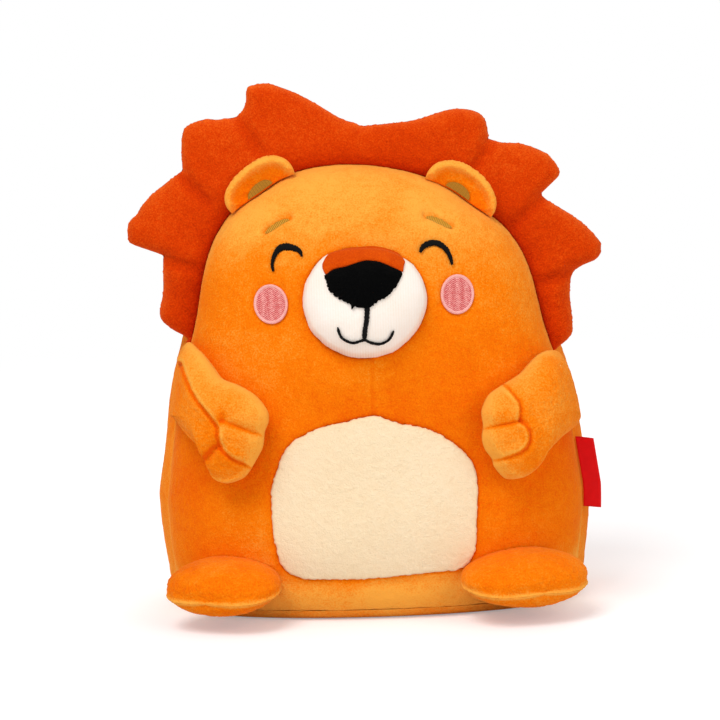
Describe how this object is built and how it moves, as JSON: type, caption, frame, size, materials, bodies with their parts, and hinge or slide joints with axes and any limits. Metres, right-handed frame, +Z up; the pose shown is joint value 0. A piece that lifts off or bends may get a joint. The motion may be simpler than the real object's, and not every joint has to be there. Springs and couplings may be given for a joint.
{
  "type": "plush lion",
  "caption": "Seated stuffed lion with a flat base, zigzag padded mane, sewn-on arms, feet and ears, a muzzle and a tufted tail.",
  "frame": {"origin": "on the floor, at the flat underside of the base, under the middle of the width", "axes": "+Z up, the face towards -Y, +X towards the side with the label, to the right of the picture"},
  "size_m": [0.2219, 0.1631, 0.2425],
  "materials": {
    "orange_minky": "short velvety pile",
    "rust_minky": "short velvety pile",
    "cream_plush": "short soft pile",
    "white_plush": "fine ribbed pile",
    "dark_orange_plush": "short pile",
    "black_plush": "short pile",
    "black_thread": "satin stitch",
    "gold_thread": "satin stitch",
    "pink_thread": "satin stitch",
    "red_tape": "smooth woven tape",
    "polyester_fill": "loose fibre",
    "pouch_calico": "plain cotton"
  },
  "bodies": {
    "body": {"front_panel": "orange_minky", "back_panel": "orange_minky", "gusset_left": "orange_minky", "gusset_right": "orange_minky", "base_panel": "orange_minky", "body_stuffing": "polyester_fill", "pellet_pouch": "pouch_calico", "belly_patch": "cream_plush", "side_label": "red_tape", "muzzle_panel": "white_plush", "muzzle_stuffing": "polyester_fill", "nose_bridge_panel": "dark_orange_plush", "nose_patch": "black_plush", "mouth_stitching": "black_thread", "eye_stitching_left": "black_thread", "eye_stitching_right": "black_thread", "brow_stitching_left": "gold_thread", "brow_stitching_right": "gold_thread", "cheek_stitching_left": "pink_thread", "cheek_stitching_right": "pink_thread", "mane_front_layer": "rust_minky", "mane_back_layer": "rust_minky", "mane_wadding": "polyester_fill"},
    "arm_left": {"arm_left_outer_panel": "orange_minky", "arm_left_palm_panel": "orange_minky", "arm_left_stuffing": "polyester_fill"},
    "foot_left": {"foot_left_top_panel": "orange_minky", "foot_left_sole_panel": "orange_minky", "foot_left_stuffing": "polyester_fill"},
    "ear_left": {"ear_left_front_panel": "orange_minky", "ear_left_back_panel": "orange_minky", "ear_left_inner_stitching": "gold_thread"},
    "arm_right": {"arm_right_outer_panel": "orange_minky", "arm_right_palm_panel": "orange_minky", "arm_right_stuffing": "polyester_fill"},
    "foot_right": {"foot_right_top_panel": "orange_minky", "foot_right_sole_panel": "orange_minky", "foot_right_stuffing": "polyester_fill"},
    "ear_right": {"ear_right_front_panel": "orange_minky", "ear_right_back_panel": "orange_minky", "ear_right_inner_stitching": "gold_thread"},
    "tail": {"tail_cord": "orange_minky", "tail_tuft": "rust_minky"}
  },
  "joints": [
    {"name": "arm_left_swing", "type": "hinge", "parent": "body", "child": "arm_left", "pos_m": [-0.08797, -0.017, 0.10248], "axis": [-0.2077, -0.065, -0.976], "range_deg": [0, 60], "stiffness_Nm_per_rad": 0.02},
    {"name": "arm_right_swing", "type": "hinge", "parent": "body", "child": "arm_right", "pos_m": [0.08916, -0.01742, 0.09463], "axis": [-0.1956, 0.0697, 0.9782], "range_deg": [0, 60], "stiffness_Nm_per_rad": 0.02},
    {"name": "foot_left_lift", "type": "hinge", "parent": "body", "child": "foot_left", "pos_m": [-0.06729, -0.05631, 0.031], "axis": [-0.9268, 0.3755, 0], "range_deg": [0, 35], "stiffness_Nm_per_rad": 0.03},
    {"name": "foot_right_lift", "type": "hinge", "parent": "body", "child": "foot_right", "pos_m": [0.06459, -0.05736, 0.031], "axis": [-0.9373, -0.3484, 0], "range_deg": [0, 35], "stiffness_Nm_per_rad": 0.03},
    {"name": "ear_left_fold", "type": "hinge", "parent": "body", "child": "ear_left", "pos_m": [-0.04606, -0.0208, 0.19439], "axis": [0.8216, 0, 0.5701], "range_deg": [0, 45], "stiffness_Nm_per_rad": 0.01},
    {"name": "ear_right_fold", "type": "hinge", "parent": "body", "child": "ear_right", "pos_m": [0.04276, -0.02063, 0.18932], "axis": [0.7998, 0, -0.6003], "range_deg": [0, 45], "stiffness_Nm_per_rad": 0.01},
    {"name": "tail_lift", "type": "hinge", "parent": "body", "child": "tail", "pos_m": [0, 0.05012, 0.0732], "axis": [1, 0, 0], "range_deg": [0, 90]}
  ]
}
